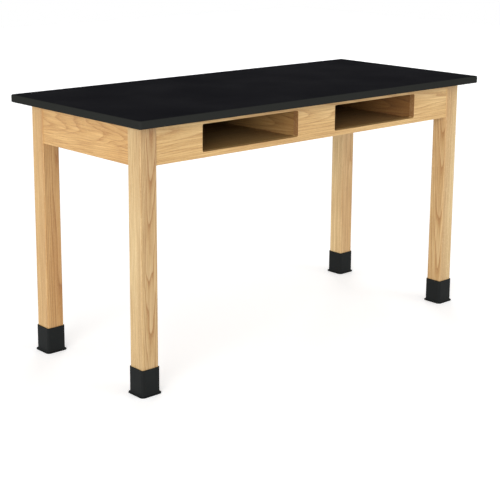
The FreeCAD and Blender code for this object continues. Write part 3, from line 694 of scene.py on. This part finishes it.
def makeStud(corner, shape):
    # Every radius is a function of height and angle: steps for the foot and the neck; for the
    # hexagon the smaller of half / cos(angle from a flat) and a cone at each end; then
    # root + depth * thread wave, cut by a cone at the tip
    node = corner + "_leveler_stud"
    foot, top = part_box(node)[0][2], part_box(node)[1][2]
    angle = np.arange(shape["columns"])[None, :] * 2 * math.pi / shape["columns"]
    footRadius, footTop, ease = shape["footRadius"], foot + shape["footHeight"], shape["footEase"]
    hexFrom, hexHeight = shape["hexFrom"], shape["hexTo"] - shape["hexFrom"]
    steps = np.array([
        (foot, footRadius - ease), (foot + ease, footRadius), (footTop - ease, footRadius),
        (footTop, footRadius - ease), (footTop, shape["neckRadius"]),
        (hexFrom, shape["neckRadius"])])
    plain = turnRound(steps[:, 1:], steps[:, :1], angle)

    sixth = math.pi / 3
    toFlat = angle % sixth - sixth / 2
    rise = np.array(shape["hexRows"])[:, None] * hexHeight
    cone = np.minimum(rise, hexHeight - rise) / math.tan(shape["hexCone"] * degree)
    cone = cone + shape["hexFace"] * shape["hexFlats"] / 2
    flats = shape["hexFlats"] / 2 / np.cos(toFlat)
    hexagon = turnRound(np.minimum(flats, cone), hexFrom + rise, angle)

    rows = round((top - shape["hexTo"]) / shape["pitch"] * shape["rowsPerTurn"])
    up = np.linspace(shape["hexTo"], top, rows)[:, None]
    depth = shape["majorRadius"] - shape["minorRadius"]
    wave = shape["minorRadius"] + depth * threadWave(up, angle, shape["pitch"], shape["flank"])
    tip = shape["majorRadius"] - shape["tip"] + (top - up)
    thread = turnRound(np.minimum(wave, tip), up, angle)

    middle = nodeMiddle(node)
    grid = np.concatenate([plain, hexagon, thread]) + np.array([middle[0], middle[1], 0])
    makePiece(corner + "_stud", [grid], corner + "_screw", node, "zinc_plated_steel")


# Leveler pads: moulded in one, with a low rim, a boss and a socket that holds the stud's foot
padShape = {
    "rimRadius": 16.0 * mm, "rimHeight": 3.6 * mm, "bossRadius": 9.0 * mm, "bossFrom": 4.4 * mm,
    "height": 9.6 * mm, "throatRadius": 4.07 * mm, "socketRadius": 5.1 * mm,
    "socketFloor": 3.0 * mm, "socketTop": 7.6 * mm, "ease": 0.9 * mm, "innerEase": 0.3 * mm,
    "pole": 0.3 * mm, "columns": 64,
}


def makePad(corner, shape):
    # A profile turned round the pad's axis: out along the underside, up over the rim and the
    # boss, and down the throat into the socket
    pole, ease, inner = shape["pole"], shape["ease"], shape["innerEase"]
    rim, boss = shape["rimRadius"], shape["bossRadius"]
    throat, socket = shape["throatRadius"], shape["socketRadius"]
    radius, up = easeCorners([
        (pole, 0, 0), (rim, 0, ease), (rim, shape["rimHeight"], ease),
        (boss, shape["bossFrom"], ease), (boss, shape["height"], ease),
        (throat, shape["height"], inner), (throat, shape["socketTop"], inner),
        (socket, shape["socketTop"], inner), (socket, shape["socketFloor"], inner),
        (pole, shape["socketFloor"], 0)]).T
    angle = np.arange(shape["columns"])[None, :] * 2 * math.pi / shape["columns"]
    middle = nodeMiddle(corner + "_leveler_pad")
    grid = turnRound(radius[:, None], up[:, None], angle) + np.array([middle[0], middle[1], 0])
    makePiece(corner + "_pad", [grid], corner + "_foot", corner + "_leveler_pad", "pad_nylon")


for corner in cornerNames:
    makeStud(corner, studShape)
    makePad(corner, padShape)
print("levelers made")

# Hanger bolts: a machine thread for the nut, a plain middle and a coarse wood thread
boltShape = {
    "length": 76.2 * mm, "free": 38.1 * mm, "flatInset": 7.071 * mm, "spacing": 40 * mm,
    "majorRadius": 3.97 * mm, "plainRadius": 3.6 * mm,
    "machineTo": 32 * mm, "machineRoot": 3.3 * mm, "machinePitch": 1.411 * mm, "machineFlank": 1.3,
    "woodFrom": 40 * mm, "woodRoot": 2.9 * mm, "woodPitch": 2.82 * mm, "woodFlank": 2.4,
    "endChamfer": 0.8 * mm, "pointRadius": 1.2 * mm, "pointSlope": 0.4,
    "columns": 20, "machineRows": 180, "woodRows": 130,
}


def makeBolts(shape):
    # Along its own axis a bolt's radius is root + depth * thread wave at each end, cut by a
    # cone at the free end and by a longer one at the point, and one plain radius between.
    # Each bolt is then turned to its corner's diagonal and put in its place.
    angle = np.arange(shape["columns"])[None, :] * 2 * math.pi / shape["columns"]
    length, major = shape["length"], shape["majorRadius"]
    up = np.linspace(0, shape["machineTo"], shape["machineRows"])[:, None]
    wave = threadWave(up, angle, shape["machinePitch"], shape["machineFlank"])
    radius = shape["machineRoot"] + (major - shape["machineRoot"]) * wave
    machine = turnRound(np.minimum(radius, major - shape["endChamfer"] + up), up, angle)
    ends = np.array([shape["machineTo"], shape["woodFrom"]])[:, None]
    plain = turnRound(shape["plainRadius"] + 0 * ends, ends, angle)
    up = np.linspace(shape["woodFrom"], length, shape["woodRows"])[:, None]
    wave = threadWave(up, angle, shape["woodPitch"], shape["woodFlank"])
    radius = shape["woodRoot"] + (major - shape["woodRoot"]) * wave
    point = shape["pointRadius"] + (length - up) * shape["pointSlope"]
    wood = turnRound(np.minimum(radius, point), up, angle)
    bolt = np.concatenate([machine, plain, wood])

    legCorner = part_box("back_right_leg")[0]
    height = nodeMiddle("front_apron")[2]
    grids = []
    for sideX in (-1, 1):
        for sideY in (-1, 1):
            out = np.array([sideX, sideY, 0]) / math.sqrt(2)
            across = np.array([-out[1], out[0], 0])
            axes = np.array([across, np.cross(out, across), out])
            start = np.array([sideX * legCorner[0], sideY * legCorner[1], height])
            start = start + out * (shape["flatInset"] - shape["free"])
            for lift in (-shape["spacing"] / 2, shape["spacing"] / 2):
                grids.append(bolt @ axes + start + np.array([0, 0, lift]))
    makePiece("hanger_bolts", grids, "frame", "leg_hanger_bolts", "zinc_plated_steel")


makeBolts(boltShape)
print("hanger bolts made")
